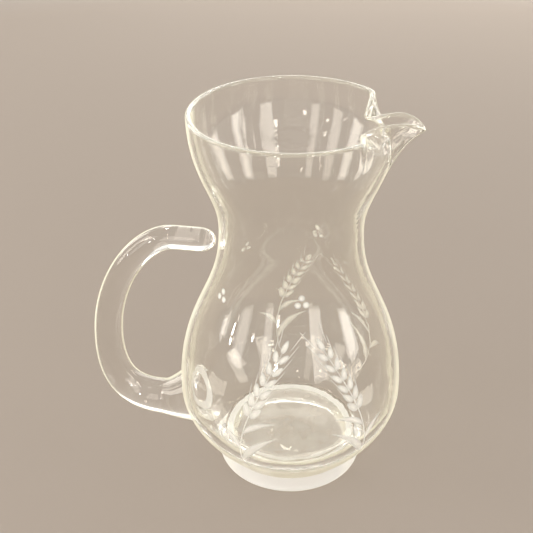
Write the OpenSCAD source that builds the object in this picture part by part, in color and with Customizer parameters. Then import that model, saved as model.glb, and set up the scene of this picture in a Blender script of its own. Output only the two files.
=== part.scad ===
// Glass cocktail pitcher: a blown bowl with a pinched pouring lip, an applied foot ring and an applied handle
// Millimetres, +Z up, the axis of the bowl on Z, the table at z = 0, the lip towards +X and the handle towards -X

/* [Bowl] */
// Height of the rim above the table
rim_height = 190; // [170:1:215]
// Outside radius of the rim
rim_radius = 46.3; // [42:0.1:52]
// Height of the narrowest place of the neck
neck_height = 134; // [128:1:142]
// Outside radius of the neck at its narrowest place
neck_radius = 33.7; // [29:0.1:38]
// Height of the widest place of the belly
belly_height = 44; // [40:1:50]
// Outside radius of the belly at its widest place
belly_radius = 55.6; // [52:0.1:62]
// Thickness of the belly and neck wall
wall = 3; // [2.4:0.1:4]
// Thickness of the rim, which is rounded by the fire
rim_wall = 2.6; // [2:0.1:3.4]
// Thickness of the glass under the floor
floor_thickness = 5.5; // [4:0.1:7]
// Radius of the flat floor inside
floor_radius = 28; // [24:0.5:31]
// Rise of the hollow in the middle of the underside
underside_rise = 1.5; // [0.5:0.1:2.5]

/* [Pouring lip] */
// Angle from the lip at which the rim leaves its circle, in degrees
pinch_angle = 47; // [42:1:54]
// Distance of the pinched notch from the axis
notch_reach = 33.5; // [31:0.1:37]
// Sideways distance of the pinched notch from the middle of the lip
notch_half_width = 10.8; // [9.5:0.1:12]
// Drop of the pinched notch below the rim
notch_dip = 4.5; // [3:0.1:6]
// Half the width of the lip between its sides
lip_half_width = 7.8; // [6.5:0.1:9]
// Distance of the tip of the lip from the axis
lip_reach = 57.6; // [53:0.1:62]
// Drop of the tip of the lip below the rim
lip_dip = 4.2; // [2.5:0.1:6]

/* [Foot ring] */
// Height of the foot ring
foot_height = 9; // [7:0.1:11]
// Outside radius of the foot ring at the table
foot_radius = 37.2; // [35:0.1:40]
// Outside radius of the foot ring where the bowl sits on it
seat_radius = 36.4; // [34:0.1:39]
// Inside radius of the foot ring
foot_bore_radius = 31; // [27:0.1:32]
// Radius of the rounding along the lower edges of the foot ring
foot_edge = 1.2; // [0.6:0.1:1.8]

/* [Handle] */
// Height of the handle's free end
handle_top = 122.3; // [116:0.1:126]
// Distance of the handle's middle line from the belly at its farthest
handle_clearance = 40; // [32:0.1:46]
// Height at which the handle is farthest out
grip_height = 57; // [53:0.5:62]
// Height of the handle's lower arm
arm_height = 23.6; // [22:0.1:27]
// Distance from the belly to the thinnest place of the lower arm
arm_length = 12.4; // [10:0.1:15]
// Height of the middle of the seal on the belly
seal_height = 30.6; // [28:0.1:33]
// Gap between the handle's free end and the neck
tip_gap = 1.8; // [1:0.1:4]
// Radius of the handle's free end
tip_radius = 5.9; // [4.5:0.1:7]
// Radius of the handle where the hand holds it
grip_radius = 7.4; // [6:0.1:8.5]
// Radius of the handle at the thinnest place of the lower arm
arm_radius = 9.4; // [8:0.1:10.5]
// Radius of the flared seal inside the belly
seal_radius = 18.5; // [16:0.1:20]

/* [Hidden] */
// The sub-parts, and the one that is drawn

// How smoothly the curves are drawn
$fn = 96;
// Points along each curve of the bowl's outline
outline_steps = 14;
// Degrees between the mouth's ribs away from the lip
rib_angle = 5;
// Ribs between two marks of the rim's path at the lip
path_steps = 3;
// Rows of the mouth from its seam to the rim
mouth_rows = 9;
// Points of the rounded rim between outside and inside
rim_rounds = 4;
// Sides of the handle
handle_sides = 28;
// Rings along each curve of the handle
handle_rings = 9;
// Rings of the handle's rounded end
tip_rings = 5;

// Pull of each curve of the bowl at its lower and upper end, as shares of the height that it covers
base_pull_shares = [0.275, 0.377];
shoulder_pull_shares = [0.511, 0.422];
flare_pull_shares = [0.357, 0.5];
// Spread of the lowest curve at the foot, as a share of the radius that it covers
base_spread_share = 0.43;
// Spread of the inside's lowest curve at the floor, as a share of the radius that it covers
floor_spread_share = 0.56;
// Rise of the inside's lowest curve at the floor, as a share of the height that it covers
floor_rise_share = 0.085;
// Share of the flare, from the neck, that is left round below the mouth
seam_share = 0.3;
// Depth of the mouth's root in the wall below the seam, as a share of the flare
root_share = 0.04;
// Inset of the mouth's root from the faces of the wall, as a share of the wall
root_inset_share = 0.07;
// Sharpness with which the lip grows out, and the notches grow in, towards the rim
lip_power = 4.8;
notch_power = 8;
// Marks of the rim's path from its circle to the tip, as shares of the pinch, notch and lip sizes
corner_angle_share = 0.87;
corner_radius_share = 0.975;
corner_dip_share = 0.06;
mid_pinch_width_share = 1.85;
mid_pinch_dip_share = 0.42;
lip_root_reach_share = 0.22;
lip_root_width_share = 1.06;
lip_root_dip_share = 0.5;
lip_side_reach_share = 0.55;
lip_side_dip_share = 0.18;
lip_shoulder_reach_share = 0.83;
lip_shoulder_width_share = 0.66;
lip_shoulder_dip_share = 0.4;
// End of the handle's straight top, as a share of the way from its free end to its farthest place
straight_share = 0.28;
// Pulls of the handle's upper bend along the top and down the grip, as shares of what it covers
upper_bend_shares = [0.41, 0.57];
// Pulls of the handle's lower bend down the grip and along the arm, as shares of what it covers
lower_bend_shares = [0.78, 0.58];
// Depth of the seal's end inside the belly, as a share of the belly's radius
seal_depth_share = 0.27;
// Pulls of the seal's middle line at the arm and at the belly, as shares of its length
seal_pull_shares = [0.3, 0.45];
// Sharpness with which the seal flares towards the belly
seal_power = 1.2;

// Curves
function bezier(a, b, c, d, t) =
    a * pow(1 - t, 3) + b * 3 * t * pow(1 - t, 2) + c * 3 * t * t * (1 - t) + d * pow(t, 3);
function bezier_points(a, b, c, d, from, to, steps) =
    [for (i = [0 : steps]) bezier(a, b, c, d, from + (to - from) * i / steps)];

// Outline of the bowl: radius and height, offset inwards by the given thickness
function flare_point(t, thickness) =
    let (rise = rim_height - rim_wall / 2 - neck_height)
    bezier(
        [neck_radius - thickness, neck_height],
        [neck_radius - thickness, neck_height + flare_pull_shares[0] * rise],
        [rim_radius - thickness, neck_height + (1 - flare_pull_shares[1]) * rise],
        [rim_radius - thickness, neck_height + rise],
        t
    );
function shoulder_points(thickness) =
    let (rise = neck_height - belly_height)
    bezier_points(
        [belly_radius - thickness, belly_height],
        [belly_radius - thickness, belly_height + shoulder_pull_shares[0] * rise],
        [neck_radius - thickness, neck_height - shoulder_pull_shares[1] * rise],
        [neck_radius - thickness, neck_height],
        0, 1, outline_steps
    );
function base_points() =
    let (rise = belly_height - foot_height, spread = belly_radius - seat_radius)
    bezier_points(
        [seat_radius, foot_height],
        [seat_radius + base_spread_share * spread, foot_height + base_pull_shares[0] * rise],
        [belly_radius, belly_height - base_pull_shares[1] * rise],
        [belly_radius, belly_height],
        0, 1, outline_steps
    );
floor_height = foot_height + floor_thickness;
function inside_base_points() =
    let (rise = belly_height - floor_height, spread = belly_radius - wall - floor_radius)
    bezier_points(
        [floor_radius, floor_height],
        [floor_radius + floor_spread_share * spread, floor_height + floor_rise_share * rise],
        [belly_radius - wall, belly_height - base_pull_shares[1] * rise],
        [belly_radius - wall, belly_height],
        0, 1, outline_steps
    );
function seam_points(thickness) =
    [for (i = [0 : outline_steps]) flare_point(seam_share * i / outline_steps, thickness)];
// Drops the first point of a curve that follows on from another
function after_first(points) = [for (i = [1 : len(points) - 1]) points[i]];
function reversed(points) = [for (i = [1 : len(points)]) points[len(points) - i]];

outside = concat(base_points(), after_first(shoulder_points(0)), after_first(seam_points(0)));
inside = concat(inside_base_points(), after_first(shoulder_points(wall)), after_first(seam_points(wall)));
underside = bezier_points(
    [0, foot_height + underside_rise],
    [foot_bore_radius / 2, foot_height + underside_rise],
    [foot_bore_radius / 2, foot_height],
    [foot_bore_radius, foot_height],
    0, 1, outline_steps
);

// Path of the rim: x, y and drop below the rim, from the middle of the lip round to the other side
lip_length = lip_reach - notch_reach;
corner_angle = corner_angle_share * pinch_angle;
corner_radius = corner_radius_share * rim_radius;
half_path = [
    [lip_reach, 0, lip_dip],
    [
        notch_reach + lip_shoulder_reach_share * lip_length,
        lip_shoulder_width_share * lip_half_width,
        lip_shoulder_dip_share * lip_dip
    ],
    [notch_reach + lip_side_reach_share * lip_length, lip_half_width, lip_side_dip_share * lip_dip],
    [
        notch_reach + lip_root_reach_share * lip_length,
        lip_root_width_share * lip_half_width,
        lip_root_dip_share * notch_dip
    ],
    [notch_reach, notch_half_width, notch_dip],
    [
        (notch_reach + corner_radius * cos(corner_angle)) / 2,
        mid_pinch_width_share * notch_half_width,
        mid_pinch_dip_share * notch_dip
    ],
    [corner_radius * cos(corner_angle), corner_radius * sin(corner_angle), corner_dip_share * notch_dip],
    [rim_radius * cos(pinch_angle), rim_radius * sin(pinch_angle), 0]
];
far_mark = [rim_radius * cos(pinch_angle + rib_angle), rim_radius * sin(pinch_angle + rib_angle), 0];
function flipped(p) = [p[0], -p[1], p[2]];
marks = concat([flipped(half_path[1])], half_path, [far_mark]);
// A smooth curve through the marks b and c, with a before and d after them
function through(a, b, c, d, t) = bezier(b, b + (c - a) / 6, c - (d - b) / 6, c, t);
lip_path = [
    for (i = [1 : len(half_path) - 1])
        for (k = [0 : path_steps - 1])
            through(marks[i - 1], marks[i], marks[i + 1], marks[i + 2], k / path_steps)
];
round_steps = ceil((360 - 2 * pinch_angle) / rib_angle);
round_path = [
    for (i = [0 : round_steps])
        let (angle = pinch_angle + (360 - 2 * pinch_angle) * i / round_steps)
            [rim_radius * cos(angle), rim_radius * sin(angle), 0]
];
rim_path = concat(lip_path, round_path, [for (p = reversed(after_first(lip_path))) flipped(p)]);
ribs = len(rim_path);

// A point of the mouth's outside: share t of the flare on one rib, drawn in by an inset
function mouth_point(rib, t, inset) =
    let (
        goal = rim_path[rib],
        angle = atan2(goal[1], goal[0]),
        change = norm([goal[0], goal[1]]) - rim_radius,
        power = change > 0 ? lip_power : notch_power,
        growth = pow(max(0, (t - seam_share) / (1 - seam_share)), power),
        plain = flare_point(t, inset),
        radius = plain[0] + change * growth
    )
    [radius * cos(angle), radius * sin(angle), plain[1] - goal[2] * growth];
// The direction straight out of the wall on a level row
function mouth_normal(rib, t) =
    let (
        along = mouth_point((rib + 1) % ribs, t, 0) - mouth_point((rib + ribs - 1) % ribs, t, 0),
        span = norm([along[0], along[1]])
    )
    [along[1] / span, -along[0] / span, 0];
function wall_at(t) = wall + (rim_wall - wall) * (t - seam_share) / (1 - seam_share);
// A ring of the mouth: share t of the flare, and how far into the wall it lies as a share of the wall
function mouth_ring(t, depth_share) =
    [for (rib = [0 : ribs - 1])
        mouth_point(rib, t, 0) - depth_share * wall_at(t) * mouth_normal(rib, t)];
function row_at(i) = seam_share + (1 - seam_share) * sin(90 * i / mouth_rows);
function rim_ring(angle) =
    [for (rib = [0 : ribs - 1])
        mouth_point(rib, 1, 0)
        + rim_wall / 2 * ((cos(angle) - 1) * mouth_normal(rib, 1) + [0, 0, sin(angle)])];
mouth_rings = concat(
    [mouth_ring(seam_share - root_share, root_inset_share)],
    [mouth_ring(seam_share, root_inset_share)],
    [for (i = [1 : mouth_rows]) mouth_ring(row_at(i), 0)],
    [for (i = [1 : rim_rounds - 1]) rim_ring(180 * i / rim_rounds)],
    [for (i = [0 : mouth_rows - 1]) mouth_ring(row_at(mouth_rows - i), 1)],
    [mouth_ring(seam_share, 1 - root_inset_share)],
    [mouth_ring(seam_share - root_share, 1 - root_inset_share)]
);

// Two triangles for the space between two rings and two ribs, with the rings closed round
function band(lower, upper, rib, sides) =
    let (
        a = lower * sides + rib,
        b = lower * sides + (rib + 1) % sides,
        c = upper * sides + (rib + 1) % sides,
        d = upper * sides + rib
    )
    [[a, c, b], [a, d, c]];
function flattened(lists) = [for (list = lists) for (item = list) item];

module mouth() {
    count = len(mouth_rings);
    polyhedron(
        points = flattened(mouth_rings),
        faces = flattened([
            for (row = [0 : count - 1])
                for (rib = [0 : ribs - 1])
                    band(row, (row + 1) % count, rib, ribs)
        ])
    );
}

module bowl() {
    rotate_extrude()
        polygon(concat(underside, after_first(outside), reversed(inside), [[0, floor_height]]));
}

// The bowl without its hollow, which shapes the handle's seal
module bowl_block() {
    top = outside[len(outside) - 1];
    rotate_extrude()
        polygon(concat([[0, foot_height]], outside, [[0, top[1]]]));
}

module body() {
    color([0.86, 0.90, 0.84, 0.45])
        union() {
            bowl();
            mouth();
        }
}

module foot_ring() {
    color([0.90, 0.93, 0.86, 0.55])
        rotate_extrude()
            polygon(concat(
                [for (i = [0 : outline_steps])
                    let (angle = 180 + 90 * i / outline_steps)
                        [foot_bore_radius + foot_edge * (1 + cos(angle)), foot_edge * (1 + sin(angle))]],
                [for (i = [0 : outline_steps])
                    let (angle = 270 + 90 * i / outline_steps)
                        [foot_radius - foot_edge * (1 - cos(angle)), foot_edge * (1 + sin(angle))]],
                [[seat_radius, foot_height], [foot_bore_radius, foot_height]]
            ));
}

// Middle line of the handle: distance from the axis and height
handle_reach = belly_radius + handle_clearance;
neck_at_tip = lookup(handle_top, [for (p = outside) [p[1], p[0]]]);
tip_start = [neck_at_tip + tip_gap + tip_radius, handle_top];
grip_point = [handle_reach, grip_height];
bend_start = [tip_start[0] + straight_share * (handle_reach - tip_start[0]), handle_top];
arm_point = [belly_radius + arm_length, arm_height];
seal_point = [belly_radius * (1 - seal_depth_share), seal_height];
upper_reach = handle_reach - bend_start[0];
upper_drop = handle_top - grip_height;
lower_reach = handle_reach - arm_point[0];
lower_drop = grip_height - arm_height;
seal_length = arm_point[0] - seal_point[0];
straight_line = bezier_points(
    tip_start,
    tip_start * 2 / 3 + bend_start / 3,
    tip_start / 3 + bend_start * 2 / 3,
    bend_start,
    0, 1, path_steps
);
upper_bend = bezier_points(
    bend_start,
    bend_start + [upper_bend_shares[0] * upper_reach, 0],
    grip_point + [0, upper_bend_shares[1] * upper_drop],
    grip_point,
    0, 1, handle_rings
);
lower_bend = bezier_points(
    grip_point,
    grip_point - [0, lower_bend_shares[0] * lower_drop],
    arm_point + [lower_bend_shares[1] * lower_reach, 0],
    arm_point,
    0, 1, handle_rings
);
seal_line = bezier_points(
    arm_point,
    arm_point - [seal_pull_shares[0] * seal_length, 0],
    seal_point + [seal_pull_shares[1] * seal_length, (arm_height - seal_height) / 2],
    seal_point,
    0, 1, handle_rings
);
handle_line = concat(
    straight_line,
    after_first(upper_bend),
    after_first(lower_bend),
    after_first(seal_line)
);
handle_radii = concat(
    [for (i = [0 : path_steps]) tip_radius],
    [for (i = [1 : handle_rings]) tip_radius + (grip_radius - tip_radius) * i / handle_rings],
    [for (i = [1 : handle_rings]) grip_radius + (arm_radius - grip_radius) * i / handle_rings],
    [for (i = [1 : handle_rings])
        arm_radius + (seal_radius - arm_radius) * pow(i / handle_rings, seal_power)]
);
last_ring = len(handle_line) - 1;

// A ring of the handle square to its middle line
function handle_ring(middle, direction, radius) =
    [for (i = [0 : handle_sides - 1])
        let (angle = 360 * i / handle_sides)
            [
                -middle[0] + radius * cos(angle) * direction[1],
                radius * sin(angle),
                middle[1] + radius * cos(angle) * direction[0]
            ]];
function handle_direction(i) =
    let (along = handle_line[min(i + 1, last_ring)] - handle_line[max(i - 1, 0)])
    along / norm(along);
tip_direction = [1, 0];
handle_ring_list = concat(
    [for (i = [1 : tip_rings - 1])
        let (angle = 90 * i / tip_rings)
            handle_ring(
                tip_start - tip_direction * tip_radius * cos(angle),
                tip_direction,
                tip_radius * sin(angle)
            )],
    [for (i = [0 : last_ring]) handle_ring(handle_line[i], handle_direction(i), handle_radii[i])]
);

module handle_rod() {
    count = len(handle_ring_list);
    tip_corner = count * handle_sides;
    end_corner = tip_corner + 1;
    polyhedron(
        points = concat(
            flattened(handle_ring_list),
            [[-tip_start[0] + tip_radius, 0, handle_top], [-seal_point[0], 0, seal_height]]
        ),
        faces = flattened([
            [for (i = [0 : handle_sides - 1]) [tip_corner, i, (i + 1) % handle_sides]],
            flattened([
                for (row = [0 : count - 2])
                    for (i = [0 : handle_sides - 1])
                        band(row, row + 1, i, handle_sides)
            ]),
            [for (i = [0 : handle_sides - 1])
                [
                    end_corner,
                    (count - 1) * handle_sides + (i + 1) % handle_sides,
                    (count - 1) * handle_sides + i
                ]]
        ])
    );
}

module handle() {
    color([0.88, 0.91, 0.85, 0.5])
        difference() {
            handle_rod();
            bowl_block();
        }
}

body();
foot_ring();
handle();
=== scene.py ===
import math
from bisect import bisect_right
from functools import partial

import bmesh
import bpy
from bpy.props import FloatProperty, FloatVectorProperty, IntProperty, PointerProperty
from mathutils import Matrix, Vector


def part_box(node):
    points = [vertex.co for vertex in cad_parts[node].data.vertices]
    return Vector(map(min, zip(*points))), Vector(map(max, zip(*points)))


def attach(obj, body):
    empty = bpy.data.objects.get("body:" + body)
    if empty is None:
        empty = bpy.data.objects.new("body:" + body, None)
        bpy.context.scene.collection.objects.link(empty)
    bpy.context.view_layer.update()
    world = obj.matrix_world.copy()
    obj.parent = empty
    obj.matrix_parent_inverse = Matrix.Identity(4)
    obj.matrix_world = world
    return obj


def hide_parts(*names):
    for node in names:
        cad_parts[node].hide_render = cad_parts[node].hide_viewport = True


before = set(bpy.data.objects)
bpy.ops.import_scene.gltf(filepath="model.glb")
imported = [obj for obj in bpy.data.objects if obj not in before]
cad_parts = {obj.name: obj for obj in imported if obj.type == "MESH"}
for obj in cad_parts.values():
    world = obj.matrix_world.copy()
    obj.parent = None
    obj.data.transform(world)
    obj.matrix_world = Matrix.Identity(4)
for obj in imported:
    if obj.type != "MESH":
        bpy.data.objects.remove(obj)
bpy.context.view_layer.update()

bl_info = {
    "name": "Glass cocktail pitcher",
    "version": (1, 0, 0),
    "blender": (4, 5, 0),
    "location": "3D View > Sidebar > Pitcher",
    "description": "A blown glass pitcher with a pinched lip, a foot ring, a rod handle and frosted cuts",
    "category": "Add Mesh",
}

_, BOWL_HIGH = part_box("body")
_, FOOT_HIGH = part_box("foot_ring")
HANDLE_LOW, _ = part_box("handle")
# The handle's reach, less the room in the frame's box that easing its bends takes up
HANDLE_REACH = -HANDLE_LOW.x - 0.0001

# Curves of the wall: shares of their width and height by which their ends pull them out, up and down
BASE_PULLS = (0.43, 0.275, 0.377)
FLOOR_PULLS = (0.56, 0.085, 0.377)
SHOULDER_PULLS = (0, 0.511, 0.422)
FLARE_PULLS = (0, 0.357, 0.5)

# The mouth: the share of the flare where it starts, and how late the lip and the notches bend away
MOUTH_START = 0.3
LIP_POWER = 4.8
NOTCH_POWER = 8
# Marks along the lip: shares of the way from notch to tip, of its half width and of the dips of tip and notch
LIP_MARKS = ((1, 0, 1, 0), (0.83, 0.66, 0.4, 0), (0.55, 1, 0.18, 0), (0.22, 1.06, 0, 0.5))
# Marks beyond the notch: shares of its half width and dip, and of the rim's radius, the pinch angle and dip
NOTCH_SIDE = (1.85, 0.42)
NOTCH_CORNER = (0.975, 0.87, 0.06)
# Angle to the mark on the rim's circle that the path runs on to
CIRCLE_STEP = math.radians(5)

# Curves of the handle: the share of its reach that stays straight, and the pulls on its bends and on its seal
HANDLE_STRAIGHT = 0.28
UPPER_BEND = (0.41, 0.57)
LOWER_BEND = (0.78, 0.58)
SEAL_PULLS = (0.3, 0.45)
# The seal: the share of the belly's radius that it reaches in, and how late it flares
SEAL_DEPTH = 0.27
SEAL_POWER = 1.2
# The free end: its length in radii of the rod, and how blunt it is
END_LENGTH = 1.6
END_POWER = 0.85
# Pulls that ease a row of values, and how often they are used
EASING_PULLS = (0.5, -0.52)
EASING_ROUNDS = 20

# The pale seam round the seal, painted bright for the light caught at its edge: shares of the seal's width
# and height that have melted clear, where the seam starts and ends as shares of that clear middle, and how
# far it sags
MELTED = (0.5, 0.53)
SEAM_START = 0.98
SEAM_END = 1.45
SEAM_SAG = 0.1
# Faces that may hold the seam: shares of the belly's radius sideways and of the middle's half height upwards
SEALED_FACES = (0.4, 1.7)
# Order of the finishes on the bowl, and of the joint's finish on the foot and on the handle
AT_FOOT, AT_SEAL, AT_RIM, UNDERNEATH = 1, 2, 3, 4
AT_JOINT = 1

# Clear glass: how it bends light, the depth of its waves and the ripples' share of it, and which of its seeds
# are rough, and how rough
GLASS_IOR = 1.5
WAVE_DEPTH = 0.002
RIPPLE_HEIGHT = 0.06
SEED_LEVEL = 0.76
SEED_ROUGHNESS = 0.02
# Noise in the finishes: scale, detail and stretch
STREAKS = (22, 3, (1, 1, 0.35))
WAVES = (26, 1.5, (1, 1, 0.6))
RIPPLES = (130, 1, (1, 1, 1.6))
SEEDS = (420, 1)
GRIT = (2200, 3)
RIM_PATCHES = (90, 3)
UNDERSIDE_PATCHES = (120, 3)
SEAM_PATCHES = (240, 2)
FOOT_WEAR = (160, 2)
CUT_STREAKS = (3, 3, (3.2, 0.7, 1))
CUT_GRIT = (2600, 2)
PAPER_TOOTH = (900, 2)
# Widths of the ragged edges of the foot's pale seam and of its pale bore
SEAM_FRAY = 0.0008
BORE_FRAY = 0.0006
# A pale dull layer where the glass is seen edge-on paints the glow of light led through the glass
# The painted glow at the edges: how far round a form it starts, on the bowl between two heights, and how soon
# it is full
BOWL_GLOW = {"From Min": 0.012, "From Max": 0.12, "To Min": 0.61, "To Max": 0.68}
FOOT_GLOW = 0.4
HANDLE_GLOW = 0.52
GLOW_BLEND = 0.2
# How much of the painted glow stays between the streaks, and the power and strength of a softer painted glow
# beside it
GLOW_LEAST = 0.4
SOFT_GLOW = (4, 0.5)
# Dull glass, frosted cuts and paper: how dim they are where the noise is low, and how their roughness ranges
DULL_DIM = 0.92
FROST_DIM = 0.9
PAPER_DIM = 0.97
DULL_ROUGHNESS = (0.7, 0.9)
FROST_ROUGHNESS = (0.6, 0.9)
PAPER_ROUGHNESS = (0.8, 0.9)
# How far dull patches of the bowl and of the foot's seam range about their cover
PATCH_RANGE = (0.6, 1.4)
SEAM_RANGE = (0.8, 1.2)
# Frosted cuts: the share of light let into them, what streaks, grit and the plain ground add to their cover,
# and how much of it their edges lose
FROST_LET_IN = 0.4
FROST_PARTS = (0.75, 0.5, 0.35)
FROST_EDGE = 0.45

# Rows and ribs of the meshes
CURVE_ROWS = 26
MOUTH_ROWS = 26
RIM_ROWS = 10
UNDERSIDE_ROWS = 12
SEAT_ROWS = 3
FLOOR_ROWS = 8
FOOT_ROWS = 8
SKIN_ROWS = 120
END_ROWS = 12
HANDLE_ROWS = (6, 30, 30)
SEAL_ROWS = 24
CAP_ROWS = 8
STEM_ROWS = 48
BLADE_ROWS = 24
AWN_ROWS = 10
PATH_RIBS = 9
ROUND_RIBS = 96
FOOT_RIBS = 192
HANDLE_RIBS = 56
OVAL_RIBS = 24
SEARCH_ROUNDS = 40
MERGE_DISTANCE = 1e-7
SHARP_ANGLE = math.radians(34)


def number(name, description, default, kind=FloatProperty, **limits):
    """A number, or several, that a user may change."""
    return kind(name=name, description=description, default=default, **limits)


length = partial(number, precision=4, subtype="DISTANCE", unit="LENGTH")
angle = partial(number, subtype="ANGLE", unit="ROTATION")
share = partial(number, min=0, max=1, subtype="FACTOR")
colour = partial(number, kind=FloatVectorProperty, size=3, min=0, max=1, subtype="COLOR")


class BowlSizes(bpy.types.PropertyGroup):
    """Sizes of the blown bowl."""

    rim_height: length("Rim height", "Height of the rim above the table", BOWL_HIGH.z)
    rim_radius: length("Rim radius", "Outside radius of the rim", 0.0463)
    neck_height: length("Neck height", "Height of the narrowest place of the neck", 0.134)
    neck_radius: length("Neck radius", "Outside radius of the neck at its narrowest place", 0.0337)
    belly_height: length("Belly height", "Height of the widest place of the belly", 0.044)
    belly_radius: length("Belly radius", "Outside radius of the belly at its widest place", BOWL_HIGH.y)
    wall: length("Wall", "Thickness of the belly and neck wall", 0.003)
    rim_wall: length("Rim wall", "Thickness of the fire-rounded rim", 0.0026)
    floor_thickness: length("Floor thickness", "Thickness of the glass under the floor", 0.0055)
    floor_radius: length("Floor radius", "Radius of the flat floor inside", 0.028)
    underside_rise: length("Underside rise", "Rise of the hollow in the middle of the underside", 0.0015)


class LipSizes(bpy.types.PropertyGroup):
    """Sizes of the pinched pouring lip."""

    pinch_angle: angle("Pinch angle", "Angle from the lip where the rim leaves its circle", math.radians(47))
    notch_reach: length("Notch reach", "Distance of the pinched notch from the axis", 0.0335)
    notch_half_width: length("Notch half width", "Distance of the notch from the lip's middle", 0.0108)
    notch_dip: length("Notch dip", "Drop of the notch below the rim", 0.0045)
    half_width: length("Lip half width", "Half the width of the lip between its sides", 0.0078)
    reach: length("Lip reach", "Distance of the tip of the lip from the axis", BOWL_HIGH.x)
    dip: length("Lip dip", "Drop of the tip of the lip below the rim", 0.0042)


class FootSizes(bpy.types.PropertyGroup):
    """Sizes of the applied foot ring."""

    height: length("Height", "Height of the foot ring", FOOT_HIGH.z)
    radius: length("Radius", "Outside radius at the table", FOOT_HIGH.x)
    seat_radius: length("Seat radius", "Outside radius where the bowl sits on the ring", 0.0364)
    bore_radius: length("Bore radius", "Inside radius of the ring", 0.031)
    edge: length("Edge", "Radius of the rounding along the lower edges", 0.0012)
    # The pale seam is painted bright: it also stands in for light led down through the foot
    seam_width: length("Seam width", "Width of the pale seam along the inside of the ring", 0.0035)


class HandleSizes(bpy.types.PropertyGroup):
    """Sizes of the applied handle."""

    end_height: length("End height", "Height of the handle's free end", 0.1223)
    end_gap: length("End gap", "Gap between the free end and the neck", 0.0018)
    end_radius: length("End radius", "Radius of the rod at its free end", 0.0059)
    grip_height: length("Grip height", "Height at which the rod is farthest out", 0.057)
    grip_radius: length("Grip radius", "Radius of the rod where the hand holds it", 0.0074)
    outer_reach: length("Outer reach", "Distance of the rod's outside from the axis", HANDLE_REACH)
    arm_height: length("Arm height", "Height of the lower arm", 0.0236)
    arm_length: length("Arm length", "Distance from the belly to the thinnest place of the arm", 0.0124)
    arm_radius: length("Arm radius", "Radius of the rod at the thinnest place of the arm", 0.0094)
    seal_height: length("Seal height", "Height of the middle of the seal on the belly", 0.0306)
    seal_radius: length("Seal radius", "Radius of the flared seal inside the belly", 0.0185)
    seam_lift: length("Seam lift", "Height of the pale seam's middle above the seal's middle", 0.0025)


class CutSizes(bpy.types.PropertyGroup):
    """Sizes of the frosted wheel cuts."""

    grain_length: length("Grain length", "Length of a wheat grain", 0.0074)
    grain_width: length("Grain width", "Width of a wheat grain", 0.0034)
    grain_pairs: number("Grain pairs", "Pairs of grains in an ear", 6, IntProperty, min=1)
    stem_width: length("Stem width", "Width of a stem", 0.0007)
    awn_width: length("Awn width", "Width of a bristle of the ear", 0.00035)
    awn_length: length("Awn length", "Length of a bristle of the ear", 0.010)
    dot_width: length("Dot width", "Width of a frosted dot", 0.0030)
    start_height: length("Start height", "Height of the lowest end of a stem", 0.026)
    lift: length("Lift", "Lift of the frosted layer from the clear glass", 0.00002)
    depth: length("Depth", "Thickness of the frosted layer", 0.00004)


class FinishChoices(bpy.types.PropertyGroup):
    """Colours and finishes of the glass."""

    clear_tint: colour("Clear tint", "Tint of the thin glass", (0.996, 0.994, 0.985))
    deep_tint: colour("Deep tint", "Tint of the thicker streaks in the glass", (0.988, 0.982, 0.95))
    shade_tint: colour("Shade tint", "Light that a face of the glass lets through", (0.98, 0.977, 0.965))
    # The edge veil is a painted glow: pale dull glass at the edges that stands in for light led through the
    # glass
    waviness: share("Waviness", "Strength of the waves left by blowing", 0.28)
    painted_edge_glow: share("Edge veil", "Strength of the pale veil that shows at the edges", 0.9)
    # The veil colour is the colour of the painted glow at the edges and of the painted highlight along the
    # rim
    painted_glow_colour: colour("Veil colour", "Colour of the veil and of the worn rim", (0.98, 0.962, 0.80))
    # A painted highlight: the rim's pale band stands in for the lamps reflected along its rounded top
    rim_painted_highlight: share("Rim wear", "How pale use has left the rim", 0.16)
    frost_colour: colour("Frost colour", "Colour of the frosted cuts", (0.97, 0.96, 0.93))
    frost_cover: share("Frost cover", "Part of the light that one frosted face holds back", 0.85)
    underside_cover: share("Underside cover", "How dull the bowl is inside the foot ring", 0.28)
    # The foot's pale dull glass is ground at its resting edges, and elsewhere a painted glow of light led
    # down through the thick foot
    bore_ground_and_painted_glow: share("Bore cover", "How dull the inside of the foot ring is ground", 0.1)
    foot_ground_and_painted_glow: share("Foot cover", "How dull the outside of the foot ring has become", 0.7)
    # The ground colour is also the colour of the painted glow on the foot and of the seams painted bright
    ground_and_painted_glow_colour: colour("Ground colour", "Colour of glass ground dull", (0.98, 0.98, 0.97))


class StageChoices(bpy.types.PropertyGroup):
    """Colours and levels of the studio."""

    floor_colour: colour("Floor colour", "Colour of the floor", (0.40, 0.345, 0.305))
    sky_colour: colour("Sky colour", "Colour of the light from all round", (1.0, 0.965, 0.91))
    sky_level: share("Sky level", "Level of the light from all round", 0.12)
    sky_near: share("Sky near", "Level of the background on the viewer's side", 0.42)
    sky_far: share("Sky far", "Level of the background behind the pitcher and above it", 1.0)
    lamp_colour: colour("Lamp colour", "Colour of the soft lamps", (1.0, 0.955, 0.88))
    lamp_level: number("Lamp level", "Level of all lamps together", 1, min=0)


def maths(operation, reflected=False):
    """A method that adds a Math node for a wire and another wire or a number."""

    def method(wire, other):
        values = (other, wire) if reflected else (wire, other)
        return wire.finish.wire("Math", {"operation": operation}, dict(enumerate(values)))

    return method


class Wire:
    """An output of a node tree whose arithmetic adds Math nodes."""

    def __init__(self, finish, socket):
        self.finish = finish
        self.socket = socket

    __add__ = __radd__ = maths("ADD")
    __sub__ = maths("SUBTRACT")
    __rsub__ = maths("SUBTRACT", reflected=True)
    __mul__ = __rmul__ = maths("MULTIPLY")
    __truediv__ = maths("DIVIDE")
    __pow__ = maths("POWER")
    __lt__ = maths("LESS_THAN")
    __gt__ = maths("GREATER_THAN")
    __or__ = maths("MAXIMUM")

    def ranging(self, low, high):
        """The value between low and high that this one, from 0 to 1, stands for."""
        return self * (high - low) + low


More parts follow.
